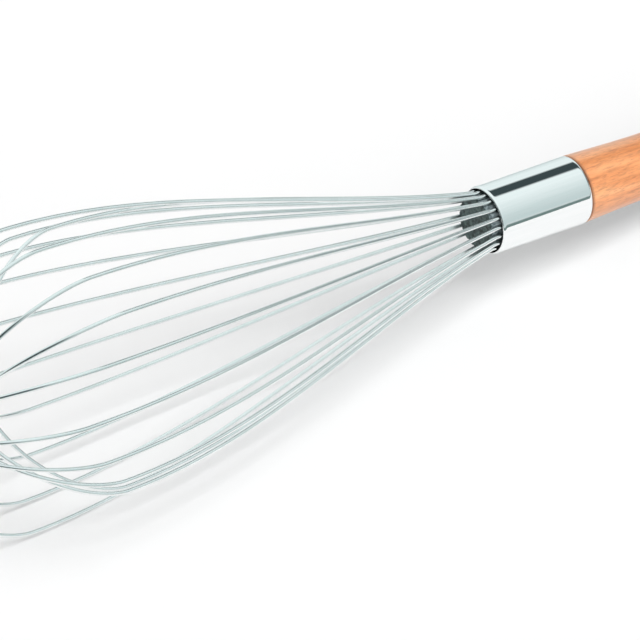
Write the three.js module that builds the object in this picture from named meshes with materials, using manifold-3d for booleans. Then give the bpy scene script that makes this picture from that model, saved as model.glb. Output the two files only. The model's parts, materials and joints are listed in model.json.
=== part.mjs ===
// Balloon whisk, lying at rest on a flat surface.
//
// The whisk is modelled standing on its own axis, which is +Y with zero at the ferrule's mouth: the wires
// rise from the mouth and the handle hangs below it. Nested groups then roll it on its axis and lay it
// down, balloon towards -X and +Z up, with the origin under the middle of its box.

import * as THREE from 'three';
import { mergeVertices } from 'three/addons/utils/BufferGeometryUtils.js';
import Module from 'manifold-3d';

// ---- Driving dimensions, millimetres ----

const WIRE_DIAMETER = 1.6;
const LOOP_COUNT = 10;
const BALLOON_LENGTH = 235.5; // mouth to the tip of a middling loop
const BALLOON_RADIUS = 51.6; // axis to the middle of the wire, at a middling loop's belly
const BELLY_HEIGHT = 186.5; // mouth to a middling loop's belly
const FLARE_HEIGHT = 2; // mouth to the bend where the wires turn away from the axis
const WIRE_FLARE = 0.2; // slope of the wires away from the axis after that bend
const TIP_FULLNESS = 1.66; // exponent of the tip's superellipse: 2 is an ellipse, less is more pointed
const RING_RADIUS = 10.75; // circle that the wires' legs stand on inside the ferrule

// The loops nest: each is a little larger than the one inside it. This is every loop's place from the
// inside out, going round the whisk from the loop that it rests on.
const NESTING = [6, 3, 1, 5, 9, 7, 4, 2, 0, 8];
const SIZE_STEP = 0.021; // how much larger a loop is than the one inside it, as a share of a middling loop

const FERRULE_LENGTH = 39.5;
const FERRULE_MOUTH_RADIUS = 12.75;
const FERRULE_REAR_RADIUS = 13.05;
const FERRULE_WALL = 0.7;
const RIM_LENGTH = 1.5; // part of each end that is rolled inwards

const CORE_RADIUS = 10.1;
const CORE_PROTRUSION = 3.5; // part of the core that stands out of the mouth
const CORE_DEPTH = 11; // part of the core that is inside the ferrule
const POTTING_LENGTH = 9.5;
const LEG_END_COVER = 1; // potting beyond the cut ends of the wires

const HANDLE_LENGTH = 130; // exposed wood, ferrule to butt
const HANDLE_FRONT_RADIUS = 12.7;
const HANDLE_WAIST_RADIUS = 11.6;
const HANDLE_SWELL_RADIUS = 14;
const HANDLE_END_RADIUS = 13.2; // where the rounded end starts
const BUTT_ROUNDING = 12; // length of the rounded end
const BUTT_FLAT_RADIUS = 6;
const HANGING_HOLE_RADIUS = 3;
const HANGING_HOLE_INSET = 14; // butt to the hole's middle

const CLEARANCE = 0.3; // gap between neighbouring pieces

// ---- Mesh resolution ----

const ROUND_SEGMENTS = 40;
const CURVE_DIVISIONS = 4;
const GROOVE_SEGMENTS = 5;
const WIRE_SIDES = 6;
const WIRE_STEPS = 64;
const PROFILE_SAMPLES = 200;

// ---- Search for the resting attitude, radians ----

const ANGLE_TOLERANCE = 1e-6;
const STEEPEST_TILT = Math.PI / 6;

// ---- Places along the axis, worked out from the dimensions ----

const WIRE_RADIUS = WIRE_DIAMETER / 2;
const GROOVE_RADIUS = WIRE_RADIUS + CLEARANCE;
const LEG_PITCH = Math.PI / LOOP_COUNT; // angle between neighbouring legs, going round the axis
const POTTING_TOP = -CORE_DEPTH - CLEARANCE;
const POTTING_BOTTOM = POTTING_TOP - POTTING_LENGTH;
const LEG_END = POTTING_BOTTOM + LEG_END_COVER;
const TENON_TOP = POTTING_BOTTOM - CLEARANCE;
const SHOULDER = -FERRULE_LENGTH - CLEARANCE;
const BUTT = -FERRULE_LENGTH - HANDLE_LENGTH;

// ---- Materials ----

const steel = { metalness: 1, roughness: 0.12 };
const ferruleSteel = new THREE.MeshStandardMaterial({ color: 0xd5dbdc, ...steel });
const wireSteel = new THREE.MeshStandardMaterial({ color: 0xb6c2c3, ...steel, roughness: 0.2 });
const coreSteel = new THREE.MeshStandardMaterial({ color: 0x8d9698, ...steel, roughness: 0.4 });
const resin = new THREE.MeshStandardMaterial({ color: 0x22282b, metalness: 0, roughness: 0.6 });
const wood = new THREE.MeshStandardMaterial({ color: 0xe79a66, metalness: 0, roughness: 0.5 });

// ---- Shape helpers ----

/** A loop's size against a middling loop. */
function loopSize(index) {
  return 1 + SIZE_STEP * (NESTING[index] - (LOOP_COUNT - 1) / 2);
}

/** Turns a profile of radius and height around the axis. */
function turned(profile) {
  return new THREE.LatheGeometry(profile, ROUND_SEGMENTS);
}

/** Gives a closed geometry to the solid library, without its seams or its empty triangles. */
function toSolid(wasm, geometry) {
  const bare = geometry.clone();
  bare.deleteAttribute('normal');
  bare.deleteAttribute('uv');
  const merged = mergeVertices(bare, 1e-4);
  const corners = merged.index.array;
  const kept = [];
  for (let i = 0; i < corners.length; i += 3) {
    const [a, b, c] = corners.slice(i, i + 3);
    if (a !== b && b !== c && c !== a) kept.push(a, b, c);
  }
  const mesh = new wasm.Mesh({
    numProp: 3,
    vertProperties: new Float32Array(merged.attributes.position.array),
    triVerts: new Uint32Array(kept),
  });
  return new wasm.Manifold(mesh);
}

/** Takes a solid back from the solid library. */
function toGeometry(solid) {
  const { vertProperties, triVerts } = solid.getMesh();
  const geometry = new THREE.BufferGeometry();
  geometry.setAttribute('position', new THREE.BufferAttribute(vertProperties, 3));
  geometry.setIndex(new THREE.BufferAttribute(triVerts, 1));
  geometry.computeVertexNormals();
  return geometry;
}

// ---- Wire loops ----

/**
 * A point on one half of a loop, as radius and height. The half runs through three stretches as along goes
 * from 0 to 1: a straight leg in the ferrule, the flare out to the belly, and the tip.
 */
function halfLoopPoint(along, size) {
  const bellyHeight = BELLY_HEIGHT * size;
  const bellyRadius = BALLOON_RADIUS * size;
  const stretch = Math.min(Math.floor(along * 3), 2);
  const t = along * 3 - stretch;
  if (stretch === 0) {
    return new THREE.Vector2(RING_RADIUS, THREE.MathUtils.lerp(LEG_END, FLARE_HEIGHT, t));
  }
  if (stretch === 1) {
    const start = 2 * t ** 3 - 3 * t ** 2 + 1;
    const slope = t ** 3 - 2 * t ** 2 + t;
    const rise = bellyHeight - FLARE_HEIGHT;
    const radius = start * RING_RADIUS + slope * rise * WIRE_FLARE + (1 - start) * bellyRadius;
    return new THREE.Vector2(radius, FLARE_HEIGHT + rise * t);
  }
  const angle = (t * Math.PI) / 2;
  const power = 2 / TIP_FULLNESS;
  const tipLength = (BALLOON_LENGTH - BELLY_HEIGHT) * size;
  return new THREE.Vector2(
    bellyRadius * Math.cos(angle) ** power,
    bellyHeight + tipLength * Math.sin(angle) ** power,
  );
}

/** The middle line of one loop, from one cut end over the tip to the other, in a plane through the axis. */
class LoopCurve extends THREE.Curve {
  constructor(azimuth, size) {
    super();
    this.azimuth = azimuth;
    this.size = size;
    this.arcLengthDivisions = 3 * PROFILE_SAMPLES;
  }

  getPoint(t, target = new THREE.Vector3()) {
    const side = t < 0.5 ? 1 : -1;
    const { x: radius, y: height } = halfLoopPoint(1 - Math.abs(2 * t - 1), this.size);
    const reach = side * radius;
    return target.set(-reach * Math.sin(this.azimuth), height, reach * Math.cos(this.azimuth));
  }
}

function wireLoop(index) {
  const path = new LoopCurve(index * LEG_PITCH, loopSize(index));
  const turn = (2 * Math.PI) / WIRE_SIDES;
  const cornerRadius = WIRE_RADIUS * Math.sqrt(turn / Math.sin(turn)); // same area as the round wire
  const corners = [];
  for (let side = 0; side < WIRE_SIDES; side += 1) {
    corners.push(new THREE.Vector2(cornerRadius * Math.cos(side * turn), cornerRadius * Math.sin(side * turn)));
  }
  return new THREE.ExtrudeGeometry(new THREE.Shape(corners), { steps: WIRE_STEPS, extrudePath: path });
}

// ---- Core and potting ----

/** A disc with a round groove for every wire leg, standing between two heights. */
function groovedDisc(radius, bottom, top) {
  const reach = radius ** 2 - GROOVE_RADIUS ** 2 - RING_RADIUS ** 2;
  const halfSweep = Math.acos(-reach / (2 * RING_RADIUS * GROOVE_RADIUS));
  const outline = [];
  for (let leg = 0; leg < 2 * LOOP_COUNT; leg += 1) {
    const azimuth = leg * LEG_PITCH;
    for (let step = 0; step <= GROOVE_SEGMENTS; step += 1) {
      const turn = azimuth + Math.PI + halfSweep * (1 - (2 * step) / GROOVE_SEGMENTS);
      outline.push(
        new THREE.Vector2(
          RING_RADIUS * Math.cos(azimuth) + GROOVE_RADIUS * Math.cos(turn),
          RING_RADIUS * Math.sin(azimuth) + GROOVE_RADIUS * Math.sin(turn),
        ),
      );
    }
    const land = azimuth + LEG_PITCH / 2;
    outline.push(new THREE.Vector2(radius * Math.cos(land), radius * Math.sin(land)));
  }
  const shape = new THREE.Shape(outline);
  const disc = new THREE.ExtrudeGeometry(shape, { depth: top - bottom, bevelEnabled: false });
  disc.rotateZ(Math.PI / 2);
  disc.rotateX(Math.PI / 2);
  disc.translate(0, top, 0);
  return disc;
}

function wireCore() {
  return groovedDisc(CORE_RADIUS, -CORE_DEPTH, CORE_PROTRUSION);
}

function potting() {
  return groovedDisc(ferruleBore(POTTING_TOP) - CLEARANCE, POTTING_BOTTOM, POTTING_TOP);
}

// ---- Ferrule ----

/** Radius of the ferrule's bore at a height. */
function ferruleBore(height) {
  const outside = THREE.MathUtils.mapLinear(height, 0, -FERRULE_LENGTH, FERRULE_MOUTH_RADIUS, FERRULE_REAR_RADIUS);
  return outside - FERRULE_WALL;
}

/** A slightly tapered tube whose ends are rolled inwards. */
function ferrule() {
  const mouthBore = ferruleBore(0);
  const rearBore = ferruleBore(-FERRULE_LENGTH);
  const rearRim = RIM_LENGTH - FERRULE_LENGTH;
  const profile = new THREE.Path();
  profile.moveTo(rearBore, -FERRULE_LENGTH);
  profile.absellipse(rearBore, rearRim, FERRULE_WALL, RIM_LENGTH, -Math.PI / 2, 0);
  profile.absellipse(mouthBore, -RIM_LENGTH, FERRULE_WALL, RIM_LENGTH, 0, Math.PI / 2);
  profile.lineTo(rearBore, -FERRULE_LENGTH);
  return turned(profile.getPoints(CURVE_DIVISIONS));
}

// ---- Handle ----

/** Half outline of the turned handle, from the butt to the tenon's end. */
function handleProfile() {
  const tenonRadius = ferruleBore(TENON_TOP) - CLEARANCE;
  const roundingTop = BUTT + BUTT_ROUNDING;
  const upTheGrip = (share) => THREE.MathUtils.lerp(roundingTop, SHOULDER, share);
  const roundingWidth = HANDLE_END_RADIUS - BUTT_FLAT_RADIUS;
  const profile = new THREE.Path();
  profile.moveTo(0, BUTT);
  profile.lineTo(BUTT_FLAT_RADIUS, BUTT);
  profile.absellipse(BUTT_FLAT_RADIUS, roundingTop, roundingWidth, BUTT_ROUNDING, -Math.PI / 2, 0);
  profile.splineThru([
    new THREE.Vector2(HANDLE_SWELL_RADIUS, upTheGrip(1 / 3)),
    new THREE.Vector2(HANDLE_WAIST_RADIUS, upTheGrip(2 / 3)),
    new THREE.Vector2(HANDLE_FRONT_RADIUS, SHOULDER),
  ]);
  profile.lineTo(tenonRadius, SHOULDER);
  profile.lineTo(tenonRadius, TENON_TOP);
  profile.lineTo(0, TENON_TOP);
  return profile.getPoints(CURVE_DIVISIONS);
}

/** Turned wood with a tenon in the ferrule and a hanging hole drilled across its end. */
function handle(wasm) {
  const blank = turned(handleProfile());
  const drill = new THREE.CylinderGeometry(
    HANGING_HOLE_RADIUS,
    HANGING_HOLE_RADIUS,
    3 * HANDLE_SWELL_RADIUS,
    ROUND_SEGMENTS / 2,
  );
  drill.rotateX(Math.PI / 2);
  drill.translate(0, BUTT + HANGING_HOLE_INSET, 0);
  return toGeometry(toSolid(wasm, blank).subtract(toSolid(wasm, drill)));
}

// ---- Resting attitude ----

/** Where a rising function crosses zero between two bounds. */
function crossing(rising, low, high) {
  let below = low;
  let above = high;
  while (above - below > ANGLE_TOLERANCE) {
    const middle = (below + above) / 2;
    if (rising(middle) < 0) below = middle;
    else above = middle;
  }
  return below;
}

/** The middle line of half a loop, as radius and height. */
function loopProfile(index) {
  const points = [];
  for (let i = 0; i <= PROFILE_SAMPLES; i += 1) {
    points.push(halfLoopPoint(i / PROFILE_SAMPLES, loopSize(index)));
  }
  return points;
}

/** How low a profile reaches when the axis is tilted, for points a given angle away from straight down. */
function lowestPoint(profile, tilt, fromDown) {
  const heights = profile.map((p) => p.y * Math.sin(tilt) - p.x * Math.cos(fromDown) * Math.cos(tilt));
  return Math.min(...heights);
}

/** The angle from straight down to the first loop's leg at which the last loop's leg is just as low. */
function restingRoll(tilt) {
  const first = loopProfile(0);
  const last = loopProfile(LOOP_COUNT - 1);
  const gap = (roll) => lowestPoint(first, tilt, roll) - lowestPoint(last, tilt, LEG_PITCH - roll);
  return crossing(gap, 0, LEG_PITCH);
}

/** The tilt at which the two lowest wires and the end of the handle touch the same flat surface. */
function restingTilt() {
  const wire = loopProfile(0);
  const wood = handleProfile();
  const balloonLow = (tilt) => lowestPoint(wire, tilt, restingRoll(tilt)) - WIRE_RADIUS;
  const gap = (tilt) => balloonLow(tilt) - lowestPoint(wood, tilt, 0);
  return crossing(gap, 0, STEEPEST_TILT);
}

// ---- Assembly ----

function piece(name, geometry, material) {
  const mesh = new THREE.Mesh(geometry, material);
  mesh.name = name;
  return mesh;
}

async function buildWhisk() {
  const wasm = await Module();
  wasm.setup();

  const upright = new THREE.Group();
  upright.add(piece('handle', handle(wasm), wood));
  upright.add(piece('ferrule', ferrule(), ferruleSteel));
  upright.add(piece('wire_core', wireCore(), coreSteel));
  upright.add(piece('potting', potting(), resin));
  for (let index = 0; index < LOOP_COUNT; index += 1) {
    upright.add(piece(`wire_loop_${index + 1}`, wireLoop(index), wireSteel));
  }

  const tilt = restingTilt();
  upright.rotation.y = -restingRoll(tilt);

  const lying = new THREE.Group();
  lying.rotation.z = Math.PI / 2;
  lying.add(upright);

  const resting = new THREE.Group();
  resting.rotation.y = tilt;
  resting.add(lying);

  const whisk = new THREE.Group();
  whisk.add(resting);
  const box = new THREE.Box3().setFromObject(whisk, true);
  const centre = box.getCenter(new THREE.Vector3());
  resting.position.set(-centre.x, -centre.y, -box.min.z);
  return whisk;
}

export default await buildWhisk();
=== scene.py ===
"""A balloon whisk resting on a white studio table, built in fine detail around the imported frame.

Each piece is made standing on the whisk's own axis: +Z runs from the ferrule's mouth to the tip of the
balloon, and zero is the mouth. WHISK_PLACE then lays its mesh where the frame's whisk rests.
"""

import json
import math

import bmesh
import bpy
from mathutils import Matrix, Vector


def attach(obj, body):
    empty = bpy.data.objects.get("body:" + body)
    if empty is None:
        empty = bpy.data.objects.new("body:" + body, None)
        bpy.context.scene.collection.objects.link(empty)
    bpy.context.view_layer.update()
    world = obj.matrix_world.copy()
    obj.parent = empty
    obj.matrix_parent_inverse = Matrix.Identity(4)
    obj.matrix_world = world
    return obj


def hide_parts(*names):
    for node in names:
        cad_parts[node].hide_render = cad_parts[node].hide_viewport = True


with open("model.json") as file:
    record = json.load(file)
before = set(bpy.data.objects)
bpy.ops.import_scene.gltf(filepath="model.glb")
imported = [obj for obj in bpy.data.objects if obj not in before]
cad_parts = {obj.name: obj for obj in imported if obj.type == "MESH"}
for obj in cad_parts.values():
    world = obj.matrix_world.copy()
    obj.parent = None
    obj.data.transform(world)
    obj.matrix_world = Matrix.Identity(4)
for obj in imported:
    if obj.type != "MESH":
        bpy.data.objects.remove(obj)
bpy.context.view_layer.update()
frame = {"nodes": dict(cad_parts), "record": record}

# ---- Driving dimensions, metres ----

MM = 0.001

WIRE_RADIUS = 0.8 * MM
LOOP_COUNT = 10
BALLOON_LENGTH = 235.5 * MM  # mouth to the tip of a middling loop
BALLOON_RADIUS = 51.6 * MM
BELLY_HEIGHT = 186.5 * MM
FLARE_HEIGHT = 2 * MM
WIRE_FLARE = 0.2  # slope of the wires away from the axis above the bend
TIP_FULLNESS = 1.66  # exponent of the tip's superellipse
RING_RADIUS = 10.75 * MM  # circle that the wires' legs stand on
LEG_END = -19.8 * MM  # cut ends of the wires

FERRULE_LENGTH = 39.5 * MM
FERRULE_MOUTH_RADIUS = 12.75 * MM
FERRULE_REAR_RADIUS = 13.05 * MM
FERRULE_WALL = 0.7 * MM
RIM_LENGTH = 1.5 * MM  # part of the ferrule's end that is rolled inwards

CORE_RADIUS = 10.1 * MM
CORE_PROTRUSION = 3.5 * MM
CORE_DEPTH = 11 * MM
CORE_CHAMFER = 0.4 * MM
GROOVE_CLEARANCE = 0.3 * MM  # between a wire and its groove in the core
LAND_SHARES = (0.35, 0.5, 0.65)  # points of the core's outside, as parts of the way to the next leg

TENON_TOP = -21.1 * MM
TENON_RADIUS = 11.3 * MM
JOINT_GAP = 0.3 * MM  # wood's shoulder to the ferrule
HANDLE_LENGTH = 130 * MM
HANDLE_FRONT_RADIUS = 12.7 * MM
HANDLE_WAIST_RADIUS = 11.6 * MM
HANDLE_SWELL_RADIUS = 14 * MM
HANDLE_END_RADIUS = 13.2 * MM
BUTT_ROUNDING = 12 * MM
BUTT_FLAT_RADIUS = 6 * MM
BUTT_CENTRE_RADIUS = 2.4 * MM  # where the lathe's turns end on the butt's flat
EDGE_RADIUS = 0.5 * MM  # eased edge of the wood where it meets the ferrule
HANGING_HOLE_RADIUS = 3 * MM
HANGING_HOLE_INSET = 14 * MM
HANGING_HOLE_FLARE = 0.8 * MM
HANGING_HOLE_REACH = 13.7 * MM  # from the axis to the wood's surface at the hole
HOLE_CUTTER_REACH = HANDLE_END_RADIUS + 4 * MM  # clear of the wood on both sides

# ---- Mesh resolution ----

LATHE_SEGMENTS = 160
HOLE_SEGMENTS = 48
ARC_STEPS = 12
GRIP_STEPS = 90
WIRE_SIDES = 14
FLARE_STEPS = 110
TIP_STEPS = 90
LEG_STEPS = 8
GROOVE_STEPS = 12
SHARP_ANGLE = 35  # degrees; edges bent further than this are shaded sharp

# ---- Heights along the whisk's own axis ----

AXIS = Vector((0, 0, 1))
FERRULE_REAR = -FERRULE_LENGTH
BUTT = FERRULE_REAR - HANDLE_LENGTH

# ---- Places worked out from the frame ----

butt_mount = frame["record"]["mounts"][0]
TO_TIP = -Vector(butt_mount["axis"]).normalized()
MOUTH = Vector(butt_mount["pos_m"]) - TO_TIP * BUTT
SIDEWAYS = Vector((0, -1, 0))
UPWARDS = TO_TIP.cross(SIDEWAYS)
WHISK_PLACE = Matrix.Translation(MOUTH) @ Matrix((SIDEWAYS, UPWARDS, TO_TIP)).transposed().to_4x4()


def loop_from_frame(node):
    """The direction from the axis to a loop's upper leg, and its size against a middling loop."""
    to_whisk = WHISK_PLACE.inverted()
    points = [to_whisk @ v.co for v in frame["nodes"][node].data.vertices]
    tip = max(p.z for p in points) - WIRE_RADIUS
    upper_half = [Vector((p.x, p.y, 0)) for p in points if p.y > 0 or (p.y == 0 and p.x > 0)]
    return sum(upper_half, Vector()).normalized(), tip / BALLOON_LENGTH


# ---- Mesh helpers ----

def add_piece(name, mesh, material, node):
    """Shows a mesh, made in the whisk's own axes, in place of a CAD node."""
    mesh.transform(WHISK_PLACE)
    for polygon in mesh.polygons:
        polygon.use_smooth = True
    mesh.set_sharp_from_angle(angle=math.radians(SHARP_ANGLE))
    mesh.materials.clear()
    mesh.materials.append(material)
    piece = bpy.data.objects.new(name, mesh)
    bpy.context.scene.collection.objects.link(piece)
    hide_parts(node)
    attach(piece, "root")


def mesh_of_rings(name, rings, closed):
    """Skins rings of points that all have the same count: end to end, or closed at both ends."""
    bm = bmesh.new()
    made = [[bm.verts.new(p) for p in ring] for ring in rings]
    count = len(made[0])
    pairs = list(zip(made, made[1:]))
    if closed:
        pairs.append((made[-1], made[0]))
    for lower, upper in pairs:
        for i in range(count):
            j = (i + 1) % count
            bm.faces.new((lower[i], lower[j], upper[j], upper[i]))
    if not closed:
        bm.faces.new(reversed(made[0]))
        bm.faces.new(made[-1])
    bmesh.ops.recalc_face_normals(bm, faces=bm.faces)
    mesh = bpy.data.meshes.new(name)
    bm.to_mesh(mesh)
    bm.free()
    return mesh


def turned(name, profile, closed=False, segments=LATHE_SEGMENTS):
    """Turns a profile of (radius, height) around the axis."""
    turns = [2 * math.pi * i / segments for i in range(segments)]
    rings = [[(r * math.cos(a), r * math.sin(a), z) for a in turns] for r, z in profile]
    return mesh_of_rings(name, rings, closed)


def arc(centre, radii, start, end):
    """Points of a quarter or half ellipse, as (radius, height), its angles in degrees."""
    points = []
    for i in range(ARC_STEPS + 1):
        angle = math.radians(start + (end - start) * i / ARC_STEPS)
        points.append((centre[0] + radii[0] * math.cos(angle), centre[1] + radii[1] * math.sin(angle)))
    return points


def spline_through(points, steps):
    """A Catmull-Rom curve through points, its ends repeated."""
    padded = [points[0]] + points + [points[-1]]
    spans = len(points) - 1
    curve = []
    for i in range(steps + 1):
        span = min(int(i * spans / steps), spans - 1)
        t = i * spans / steps - span
        p0, p1, p2, p3 = (Vector(p) for p in padded[span:span + 4])
        bend = (2 * p0 - 5 * p1 + 4 * p2 - p3) * t ** 2 + (3 * p1 - p0 - 3 * p2 + p3) * t ** 3
        curve.append(tuple(p1 + ((p2 - p0) * t + bend) / 2))
    return curve


# ---- Wire loops ----

def half_loop(size):
    """Middle line of half a loop, as (radius, height), from the cut end of its leg to the tip.

    A straight leg, a cubic that flares out to the belly and is level there, and a superellipse for the tip.
    """
    belly_height = BELLY_HEIGHT * size
    belly_radius = BALLOON_RADIUS * size
    tip_length = (BALLOON_LENGTH - BELLY_HEIGHT) * size
    rise = belly_height - FLARE_HEIGHT
    points = []
    for i in range(LEG_STEPS):
        points.append((RING_RADIUS, LEG_END + (FLARE_HEIGHT - LEG_END) * i / LEG_STEPS))
    for i in range(FLARE_STEPS):
        t = i / FLARE_STEPS
        ring_share = 2 * t ** 3 - 3 * t ** 2 + 1
        flare_share = t ** 3 - 2 * t ** 2 + t
        flare = flare_share * rise * WIRE_FLARE
        radius = ring_share * RING_RADIUS + flare + (1 - ring_share) * belly_radius
        points.append((radius, FLARE_HEIGHT + rise * t))
    for i in range(TIP_STEPS + 1):
        angle = i / TIP_STEPS * math.pi / 2
        power = 2 / TIP_FULLNESS
        radius = belly_radius * max(math.cos(angle), 0) ** power
        points.append((radius, belly_height + tip_length * math.sin(angle) ** power))
    return points


def wire_loop(number, steel):
    """A round wire bent into one of the balloon's loops, in the plane and at the size of its CAD node."""
    node = f"wire_loop_{number}"
    across, size = loop_from_frame(node)
    half = half_loop(size)
    line = [across * r + AXIS * z for r, z in half]
    line += [across * -r + AXIS * z for r, z in reversed(half[:-1])]
    off_plane = across.cross(AXIS)
    rings = []
    for i, point in enumerate(line):
        along = (line[min(i + 1, len(line) - 1)] - line[max(i - 1, 0)]).normalized()
        outwards = along.cross(off_plane)
        ring = []
        for side in range(WIRE_SIDES):
            turn = 2 * math.pi * side / WIRE_SIDES
            ring.append(point + WIRE_RADIUS * (math.cos(turn) * outwards + math.sin(turn) * off_plane))
        rings.append(ring)
    mesh = mesh_of_rings(node, rings, closed=False)
    add_piece(f"wire_{number}", mesh, steel, node)


# ---- Core ----

def core_outline(first_leg):
    """Outline of the core: lands on its outside, and a round groove for every leg.

    half_sweep is half the angle of a groove's circle that lies inside the core, by the law of cosines.
    """
    groove_radius = WIRE_RADIUS + GROOVE_CLEARANCE
    inside = RING_RADIUS ** 2 + groove_radius ** 2 - CORE_RADIUS ** 2
    half_sweep = math.acos(inside / (2 * RING_RADIUS * groove_radius))
    outline = []
    for leg in range(2 * LOOP_COUNT):
        azimuth = first_leg + leg * math.pi / LOOP_COUNT
        for step in range(GROOVE_STEPS + 1):
            turn = azimuth + math.pi + half_sweep * (1 - 2 * step / GROOVE_STEPS)
            outline.append(Vector((
                RING_RADIUS * math.cos(azimuth) + groove_radius * math.cos(turn),
                RING_RADIUS * math.sin(azimuth) + groove_radius * math.sin(turn),
                0,
            )))
        for share in LAND_SHARES:
            land = azimuth + share * math.pi / LOOP_COUNT
            outline.append(Vector((CORE_RADIUS * math.cos(land), CORE_RADIUS * math.sin(land), 0)))
    return outline


def wire_core():
    """The grooved plug that holds the wires apart, with a small chamfer at its top."""
    across, _ = loop_from_frame("wire_loop_1")
    outline = core_outline(math.atan2(across.y, across.x))
    shrink = 1 - CORE_CHAMFER / CORE_RADIUS
    rings = []
    for scale, z in ((1, -CORE_DEPTH), (1, CORE_PROTRUSION - CORE_CHAMFER), (shrink, CORE_PROTRUSION)):
        rings.append([p * scale + AXIS * z for p in outline])
    mesh = mesh_of_rings("wire_core", rings, closed=False)
    add_piece("core_plug", mesh, core_steel(), "wire_core")


# ---- Ferrule ----

def ferrule():
    """A slightly tapered sleeve whose ends are rolled inwards."""
    mouth_bore = FERRULE_MOUTH_RADIUS - FERRULE_WALL
    rear_bore = FERRULE_REAR_RADIUS - FERRULE_WALL
    roll = (FERRULE_WALL, RIM_LENGTH)
    profile = arc((rear_bore, FERRULE_REAR + RIM_LENGTH), roll, -90, 0)
    profile += arc((mouth_bore, -RIM_LENGTH), roll, 0, 90)
    mesh = turned("ferrule", profile, closed=True)
    add_piece("ferrule_sleeve", mesh, ferrule_steel(), "ferrule")


# ---- Handle ----

def handle_profile():
    """The wood's outline, as (radius, height), from the butt up to the top of the tenon."""
    rounding_top = BUTT + BUTT_ROUNDING
    shoulder = FERRULE_REAR - JOINT_GAP
    rounding = (HANDLE_END_RADIUS - BUTT_FLAT_RADIUS, BUTT_ROUNDING)
    grip_top = shoulder - EDGE_RADIUS

    def up_the_grip(share):
        return rounding_top + (grip_top - rounding_top) * share

    profile = [(BUTT_CENTRE_RADIUS, BUTT)]
    profile += arc((BUTT_FLAT_RADIUS, rounding_top), rounding, -90, 0)
    profile += spline_through([
        (HANDLE_END_RADIUS, rounding_top),
        (HANDLE_SWELL_RADIUS, up_the_grip(1 / 3)),
        (HANDLE_WAIST_RADIUS, up_the_grip(2 / 3)),
        (HANDLE_FRONT_RADIUS, grip_top),
    ], GRIP_STEPS)[1:]
    profile += arc((HANDLE_FRONT_RADIUS - EDGE_RADIUS, grip_top), (EDGE_RADIUS, EDGE_RADIUS), 0, 90)[1:]
    profile += [(TENON_RADIUS, shoulder), (TENON_RADIUS, TENON_TOP)]
    return profile


def hole_cutter():
    """The hanging hole, flared at both ends, in the plane of the first loop."""
    across, _ = loop_from_frame("wire_loop_1")
    flare = (HANGING_HOLE_FLARE, 1.5 * HANGING_HOLE_FLARE)
    flare_centre = (HANGING_HOLE_RADIUS + HANGING_HOLE_FLARE, HANGING_HOLE_REACH - flare[1])
    half = [(HANGING_HOLE_RADIUS, 0)]
    half += arc(flare_centre, flare, 180, 90)
    half += [(HANGING_HOLE_RADIUS + 2 * HANGING_HOLE_FLARE, HOLE_CUTTER_REACH)]
    profile = [(r, -z) for r, z in reversed(half[1:])] + half
    mesh = turned("hole", profile, segments=HOLE_SEGMENTS)
    direction = AXIS.rotation_difference(across).to_matrix().to_4x4()
    mesh.transform(Matrix.Translation((0, 0, BUTT + HANGING_HOLE_INSET)) @ direction)
    cutter = bpy.data.objects.new("hole", mesh)
    bpy.context.scene.collection.objects.link(cutter)
    return cutter


def handle():
    """The turned wood, with the hanging hole cut across it."""
    blank = bpy.data.objects.new("blank", turned("handle", handle_profile()))
    bpy.context.scene.collection.objects.link(blank)
    cutter = hole_cutter()
    cut = blank.modifiers.new("hole", "BOOLEAN")
    cut.operation = "DIFFERENCE"
    cut.solver = "EXACT"
    cut.object = cutter
    evaluated = blank.evaluated_get(bpy.context.evaluated_depsgraph_get())
    mesh = bpy.data.meshes.new_from_object(evaluated)
    bpy.data.objects.remove(blank)
    bpy.data.objects.remove(cutter)
    add_piece("handle_wood", mesh, handle_wood(), "handle")


# ---- Potting ----

def potting():
    """The CAD node itself is shown, with its own resin, because the core and the ferrule hide it."""
    node = frame["nodes"]["potting"]
    node.data.materials.clear()
    node.data.materials.append(potting_resin())


# ---- Material helpers ----

def grey(level):
    return (level, level, level, 1)


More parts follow.
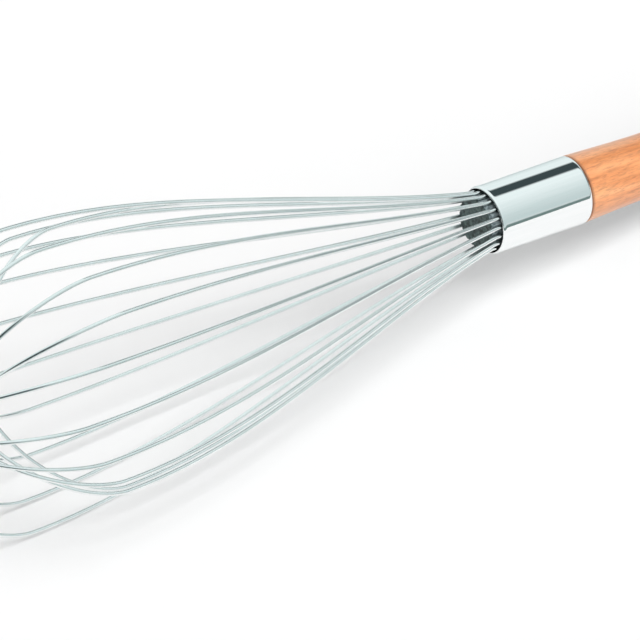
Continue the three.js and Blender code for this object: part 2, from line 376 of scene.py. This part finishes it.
class Nodes:
    """Adds and links shader nodes in a material or world."""

    def __init__(self, tree):
        self.tree = tree
        tree.nodes.clear()

    def add(self, kind, inputs=None, **settings):
        """A node with its settings and sockets filled in. A socket is named, or numbered from 0."""
        node = self.tree.nodes.new(kind)
        for name, value in settings.items():
            setattr(node, name, value)
        for name, value in (inputs or {}).items():
            self.set(node.inputs[name], value)
        return node

    def set(self, socket, value):
        """Gives a socket a plain value, or links another node's socket to it."""
        if isinstance(value, bpy.types.NodeSocket):
            self.tree.links.new(value, socket)
        else:
            socket.default_value = value

    def math(self, operation, *values, clamp=False):
        node = self.add("ShaderNodeMath", operation=operation, use_clamp=clamp)
        for socket, value in zip(node.inputs, values):
            self.set(socket, value)
        return node.outputs[0]

    def mix(self, factor, a, b, blend="MIX"):
        """Blends colour b over colour a, on the sockets that a mix node has for colours."""
        inputs = {0: factor, 6: a, 7: b}
        return self.add("ShaderNodeMix", inputs, data_type="RGBA", blend_type=blend).outputs[2]

    def fade(self, value, start, end):
        """0 at start and before it, 1 at end and past it."""
        inputs = {"Value": value, "From Min": start, "From Max": end}
        return self.add("ShaderNodeMapRange", inputs).outputs[0]

    def inside(self, value, low, high, softness):
        """1 where value is between low and high, fading out over softness."""
        rising = self.fade(value, low - softness, low)
        falling = self.fade(value, high + softness, high)
        return self.math("MULTIPLY", rising, falling)

    def ramp(self, factor, stops):
        """A colour that runs through stops of (position, colour)."""
        node = self.add("ShaderNodeValToRGB", {"Fac": factor})
        elements = node.color_ramp.elements
        while len(elements) < len(stops):
            elements.new(0.5)
        for element, (position, color) in zip(elements, stops):
            element.position = position
            element.color = color
        return node.outputs["Color"]

    def noise(self, vector, scale=1, detail=3, roughness=0.55, distortion=0):
        node = self.add("ShaderNodeTexNoise", {
            "Vector": vector,
            "Scale": scale,
            "Detail": detail,
            "Roughness": roughness,
            "Distortion": distortion,
        })
        return node.outputs["Fac"]

    def whisk_axes(self):
        """The shaded point in the whisk's own axes."""
        place = self.add("ShaderNodeTexCoord").outputs["Object"]
        inputs = {"Vector": place, "Location": MOUTH, "Rotation": WHISK_PLACE.to_euler()}
        return self.add("ShaderNodeMapping", inputs, vector_type="TEXTURE").outputs["Vector"]

    def stretched(self, vector, across, along):
        """Texture space with one scale across the whisk's axis and another along it, per metre."""
        inputs = {"Vector": vector, "Scale": (across, across, along)}
        return self.add("ShaderNodeMapping", inputs).outputs["Vector"]

    def bump(self, height, strength, depth):
        inputs = {"Height": height, "Strength": strength, "Distance": depth}
        return self.add("ShaderNodeBump", inputs).outputs[0]

    def surface(self, **inputs):
        """The material's finish. An input's underscores stand for the spaces in its name."""
        named = {name.replace("_", " "): value for name, value in inputs.items()}
        shader = self.add("ShaderNodeBsdfPrincipled", named)
        self.add("ShaderNodeOutputMaterial", {"Surface": shader.outputs[0]})


def new_material(name):
    material = bpy.data.materials.new(name)
    material.use_nodes = True
    return material, Nodes(material.node_tree)


# ---- Materials ----

WIRE_DULL = (0.84, 0.87, 0.87, 1)
WIRE_BRIGHT = (0.92, 0.94, 0.94, 1)
SLEEVE_DULL = (0.91, 0.93, 0.93, 1)
SLEEVE_BRIGHT = (0.95, 0.96, 0.96, 1)
CORE_DARK = (0.06, 0.08, 0.09, 1)
CORE_LIGHT = (0.42, 0.49, 0.51, 1)
CORE_METALLIC = 0.6
# Darker mottled colours of the core's end face
END_FACE_DARK = (0.012, 0.020, 0.019, 1)
END_FACE_LIGHT = (0.10, 0.16, 0.15, 1)
RESIN_DARK = (0.010, 0.013, 0.013, 1)
RESIN_LIGHT = (0.035, 0.045, 0.045, 1)

WOOD_RED = (0.65, 0.225, 0.068, 1)
WOOD_MIDDLE = (0.78, 0.315, 0.117, 1)
WOOD_PALE = (0.86, 0.405, 0.175, 1)
WOOD_BOUNCE = grey(0.5)  # what the white table sees, so that the wood's orange stays off it
GRAIN_SHARE = 0.75  # how much of the fine grain shows
FLECK_BROWN = (0.40, 0.12, 0.045, 1)
FLECK_SHARE = 0.5
GRIME_BROWN = (0.17, 0.055, 0.03, 1)
GRIME_SHARE = 0.5
GRIME_START = FERRULE_REAR - 1.3 * MM  # the grime deepens from here
GRIME_FULL = FERRULE_REAR - 0.6 * MM


def wire_steel():
    """Bright drawn wire: a cool grey, with faint lines along it."""
    material, nodes = new_material("wire_steel")
    place = nodes.whisk_axes()
    patches = nodes.noise(place, scale=60, detail=2)
    color = nodes.ramp(patches, [(0.3, WIRE_DULL), (0.7, WIRE_BRIGHT)])
    drawn = nodes.noise(nodes.stretched(place, across=2500, along=60), detail=2)
    roughness = nodes.math("MULTIPLY_ADD", drawn, 0.10, 0.12)
    bump = nodes.bump(drawn, strength=0.05, depth=0.02 * MM)
    nodes.surface(Base_Color=color, Metallic=1.0, Roughness=roughness, Normal=bump)
    return material


def ferrule_steel():
    """Mirror-polished sleeve, with a faint waviness from polishing and a few fine rubs along it."""
    material, nodes = new_material("ferrule_steel")
    place = nodes.whisk_axes()
    rubs = nodes.noise(nodes.stretched(place, across=900, along=40))
    color = nodes.ramp(rubs, [(0.3, SLEEVE_DULL), (0.7, SLEEVE_BRIGHT)])
    roughness = nodes.math("MULTIPLY_ADD", rubs, 0.06, 0.03)
    wave = nodes.noise(place, scale=90, detail=1)
    bump = nodes.bump(wave, strength=0.25, depth=0.04 * MM)
    nodes.surface(Base_Color=color, Metallic=1.0, Roughness=roughness, Normal=bump)
    return material


def core_steel():
    """Dull grey plug whose end face is darker, mottled and not metallic."""
    material, nodes = new_material("core_steel")
    place = nodes.whisk_axes()
    height = nodes.add("ShaderNodeSeparateXYZ", {"Vector": place}).outputs["Z"]
    end = nodes.math("GREATER_THAN", height, CORE_PROTRUSION - 0.5 * CORE_CHAMFER)
    mottle = nodes.noise(place, scale=700, detail=4, roughness=0.65)
    side = nodes.ramp(mottle, [(0.38, CORE_DARK), (0.62, CORE_LIGHT)])
    # The end face takes a darker mottled colour and loses its metal.
    end_face_color = nodes.ramp(mottle, [(0.38, END_FACE_DARK), (0.66, END_FACE_LIGHT)])
    color = nodes.mix(end, side, end_face_color)
    metallic = nodes.math("MULTIPLY_ADD", end, -CORE_METALLIC, CORE_METALLIC)
    bump = nodes.bump(mottle, strength=0.6, depth=0.15 * MM)
    nodes.surface(Base_Color=color, Metallic=metallic, Roughness=0.5, Normal=bump)
    return material


def potting_resin():
    """Cast dark resin with a slightly uneven skin."""
    material, nodes = new_material("resin")
    cloud = nodes.noise(nodes.whisk_axes(), scale=350)
    color = nodes.ramp(cloud, [(0.3, RESIN_DARK), (0.7, RESIN_LIGHT)])
    bump = nodes.bump(cloud, strength=0.4, depth=0.1 * MM)
    nodes.surface(Base_Color=color, Roughness=0.4, Normal=bump)
    return material


def handle_wood():
    """Oiled reddish beech: soft bands, fine grain along it, short flecks and grime beside the ferrule."""
    material, nodes = new_material("handle_wood")
    place = nodes.whisk_axes()
    bands = nodes.noise(nodes.stretched(place, across=190, along=22), roughness=0.6, distortion=0.6)
    color = nodes.ramp(bands, [(0.30, WOOD_RED), (0.5, WOOD_MIDDLE), (0.70, WOOD_PALE)])

    grain = nodes.noise(nodes.stretched(place, across=1100, along=200), detail=4, roughness=0.65)
    shade = nodes.ramp(grain, [(0.36, grey(0.70)), (0.50, grey(0.96)), (0.62, grey(1.08))])
    color = nodes.mix(GRAIN_SHARE, color, nodes.mix(1.0, color, shade, "MULTIPLY"))

    flecks = nodes.noise(nodes.stretched(place, across=2300, along=330), detail=1)
    fleck = nodes.ramp(flecks, [(0.60, grey(0)), (0.70, grey(1))])
    color = nodes.mix(nodes.math("MULTIPLY", fleck, FLECK_SHARE), color, FLECK_BROWN)

    height = nodes.add("ShaderNodeSeparateXYZ", {"Vector": place}).outputs["Z"]
    grime = nodes.fade(height, GRIME_START, GRIME_FULL)
    color = nodes.mix(nodes.math("MULTIPLY", grime, GRIME_SHARE), color, GRIME_BROWN)

    bounced = nodes.add("ShaderNodeLightPath").outputs["Is Diffuse Ray"]
    color = nodes.mix(bounced, color, WOOD_BOUNCE)
    nodes.surface(
        Base_Color=color,
        Roughness=nodes.math("MULTIPLY_ADD", grain, 0.25, 0.28),
        Normal=nodes.bump(grain, strength=0.4, depth=0.1 * MM),
        Coat_Weight=1.0,
        Coat_Roughness=0.35,
    )
    return material


# ---- Table ----

TABLE_REACH = 8.0  # past the horizon of every view
TABLE_DARK = grey(0.870)
TABLE_PALE = grey(0.880)


def stage_sheet(name, low_y, high_y, height, material):
    """A level sheet that reaches far to both sides."""
    corners = [
        (-TABLE_REACH, low_y, height),
        (TABLE_REACH, low_y, height),
        (TABLE_REACH, high_y, height),
        (-TABLE_REACH, high_y, height),
    ]
    mesh = bpy.data.meshes.new(name)
    mesh.from_pydata(corners, [], [(0, 1, 2, 3)])
    mesh.materials.append(material)
    sheet = bpy.data.objects.new(name, mesh)
    bpy.context.scene.collection.objects.link(sheet)
    return sheet


def table_top():
    """The pale, matt table, with hardly any cloudiness."""
    material, nodes = new_material("table_top")
    place = nodes.add("ShaderNodeTexCoord").outputs["Object"]
    cloud = nodes.noise(place, scale=6, detail=2)
    color = nodes.ramp(cloud, [(0.3, TABLE_DARK), (0.7, TABLE_PALE)])
    nodes.surface(Base_Color=color, Roughness=0.9, Specular_IOR_Level=0.0)
    stage_sheet("table_top", -TABLE_REACH, TABLE_REACH, 0, material)


# ---- What the steel mirrors past the table ----

TABLE_BACK = 0.2
TABLE_FRONT = -0.14
TABLE_GAP = 0.24  # dark gap between the table's front edge and the studio's floor
SHEET_HEIGHT = 0.2 * MM
FLOOR_GREY = (0.60, 0.68, 0.68, 1)
GAP_GREY = (0.17, 0.24, 0.23, 1)


def glowing(name, color):
    material, nodes = new_material(name)
    glow = nodes.add("ShaderNodeEmission", {"Color": color})
    nodes.add("ShaderNodeOutputMaterial", {"Surface": glow.outputs[0]})
    return material


def studio_floor():
    """What only the steel sees past the table: a dark gap in front, and studio floor on both sides."""
    floor_front = TABLE_FRONT - TABLE_GAP
    floor = glowing("studio_floor", FLOOR_GREY)
    gap = glowing("gap", GAP_GREY)
    sheets = [
        stage_sheet("gap", floor_front, TABLE_FRONT, SHEET_HEIGHT, gap),
        stage_sheet("floor_in_front", -TABLE_REACH, floor_front, SHEET_HEIGHT, floor),
        stage_sheet("floor_behind", TABLE_BACK, TABLE_REACH, SHEET_HEIGHT, floor),
    ]
    for sheet in sheets:
        sheet.visible_camera = False
        sheet.visible_diffuse = False
        sheet.visible_shadow = False


# ---- What the steel mirrors above the table ----
# Angles are degrees over the X axis: 0 is level at the back, 90 overhead, 180 level in front. A reach is a
# range of the mirrored direction's X part, from -1 to 1.

BACKDROP = [  # (part of the way over from the back to the front, colour)
    (0.00, (0.70, 0.79, 0.79, 1)),
    (0.12, (0.84, 0.93, 0.93, 1)),
    (0.53, (0.87, 0.96, 0.96, 1)),
    (0.68, (0.78, 0.87, 0.87, 1)),
    (0.83, (0.65, 0.75, 0.75, 1)),
    (0.92, (0.58, 0.68, 0.68, 1)),
    (1.00, (0.55, 0.66, 0.66, 1)),
]
STUDIO_BLACK = (0.045, 0.065, 0.070, 1)
FLAG_ANGLES = (50.0, 77.0)  # a black flag above the backdrop
FLAG_SOFTNESS = 7.0
FLAG_REACH = (0.38, 0.82)
FLAG_END_SOFTNESS = 0.03
LIT_REACH = (-0.50, 0.80)  # on both sides of this the studio is dark
LIT_END_SOFTNESS = 0.17
STRIP_ANGLES = (24.0, 44.0)  # a lit strip that runs on across the dark sides
STRIP_SOFTNESS = 8.0


def mirrored_studio(nodes):
    """The studio's colour in each direction: pale backdrop, black flag, dark sides with a lit strip."""
    direction = nodes.add("ShaderNodeTexCoord").outputs["Generated"]
    axes = nodes.add("ShaderNodeSeparateXYZ", {"Vector": direction}).outputs
    radians = nodes.math("ARCTAN2", axes["Z"], axes["Y"])
    angle = nodes.math("MULTIPLY", radians, 180 / math.pi)
    color = nodes.ramp(nodes.math("DIVIDE", angle, 180, clamp=True), BACKDROP)
    flag_side = nodes.inside(angle, *FLAG_ANGLES, FLAG_SOFTNESS)
    flag_end = nodes.inside(axes["X"], *FLAG_REACH, FLAG_END_SOFTNESS)
    color = nodes.mix(nodes.math("MULTIPLY", flag_side, flag_end), color, STUDIO_BLACK)
    middle = nodes.inside(axes["X"], *LIT_REACH, LIT_END_SOFTNESS)
    strip = nodes.inside(angle, *STRIP_ANGLES, STRIP_SOFTNESS)
    return nodes.mix(nodes.math("MAXIMUM", middle, strip), STUDIO_BLACK, color)


# ---- Light ----

WHITE = grey(1.0)
FILL = 0.56  # light from all round on everything that isn't steel
KEY_STRENGTH = 1.60
KEY_SPREAD = 34  # apparent size of the soft box, degrees
KEY_DIRECTION = Vector((0, -0.53, 1))
FRONT_STRENGTH = 0.85
FRONT_SPREAD = 40
FRONT_DIRECTION = Vector((0, -1.5, 1))


def studio_surroundings():
    """White to the camera, the mirrored studio to the steel, and an even fill for everything else."""
    world = bpy.data.worlds.new("studio")
    bpy.context.scene.world = world
    world.use_nodes = True
    nodes = Nodes(world.node_tree)
    ray = nodes.add("ShaderNodeLightPath").outputs
    glossy = nodes.add("ShaderNodeBackground", {"Color": mirrored_studio(nodes), "Strength": 1.0})
    fill = nodes.add("ShaderNodeBackground", {"Color": WHITE, "Strength": FILL})
    seen = nodes.add("ShaderNodeBackground", {"Color": WHITE, "Strength": 1.0})
    lit = nodes.add("ShaderNodeMixShader", {
        0: ray["Is Glossy Ray"],
        1: fill.outputs[0],
        2: glossy.outputs[0],
    })
    shown = nodes.add("ShaderNodeMixShader", {
        0: ray["Is Camera Ray"],
        1: lit.outputs[0],
        2: seen.outputs[0],
    })
    nodes.add("ShaderNodeOutputWorld", {"Surface": shown.outputs[0]})


def soft_box(name, strength, spread, direction):
    """A large, distant light that steel doesn't mirror."""
    light = bpy.data.lights.new(name, "SUN")
    light.energy = strength
    light.angle = math.radians(spread)
    lamp = bpy.data.objects.new(name, light)
    lamp.rotation_euler = direction.to_track_quat("Z", "Y").to_euler()
    lamp.visible_glossy = False
    bpy.context.scene.collection.objects.link(lamp)


# ---- Camera ----

CAMERA_AZIMUTH = -31.57  # degrees round the whisk, from -Y towards +X
CAMERA_ELEVATION = 35.44  # degrees above the table
CAMERA_ROLL = -5.78  # degrees
CAMERA_DISTANCE = 2.474  # metres
CAMERA_LENS = 393  # millimetres
AIM_FROM_MOUTH = 0.0724  # metres, towards the balloon
AIM_HEIGHT = 0.0229  # metres above the table


def camera():
    """A long lens that looks down at the mouth's balloon side, slightly rolled."""
    azimuth = math.radians(CAMERA_AZIMUTH)
    elevation = math.radians(CAMERA_ELEVATION)
    back = Vector((
        math.sin(azimuth) * math.cos(elevation),
        -math.cos(azimuth) * math.cos(elevation),
        math.sin(elevation),
    ))
    aim = Vector((MOUTH.x - AIM_FROM_MOUTH, 0, AIM_HEIGHT))
    level = back.to_track_quat("Z", "Y").to_matrix().to_4x4()
    roll = Matrix.Rotation(math.radians(CAMERA_ROLL), 4, "Z")
    data = bpy.data.cameras.new("camera")
    data.lens = CAMERA_LENS
    eye = bpy.data.objects.new("camera", data)
    eye.matrix_world = Matrix.Translation(aim + back * CAMERA_DISTANCE) @ level @ roll
    bpy.context.scene.collection.objects.link(eye)
    bpy.context.scene.camera = eye


# ---- Scene ----

steel = wire_steel()
for number in range(1, LOOP_COUNT + 1):
    wire_loop(number, steel)
wire_core()
ferrule()
handle()
potting()

table_top()
studio_floor()
studio_surroundings()
soft_box("key", KEY_STRENGTH, KEY_SPREAD, KEY_DIRECTION)
soft_box("front", FRONT_STRENGTH, FRONT_SPREAD, FRONT_DIRECTION)
camera()
bpy.context.scene.view_settings.view_transform = "Standard"
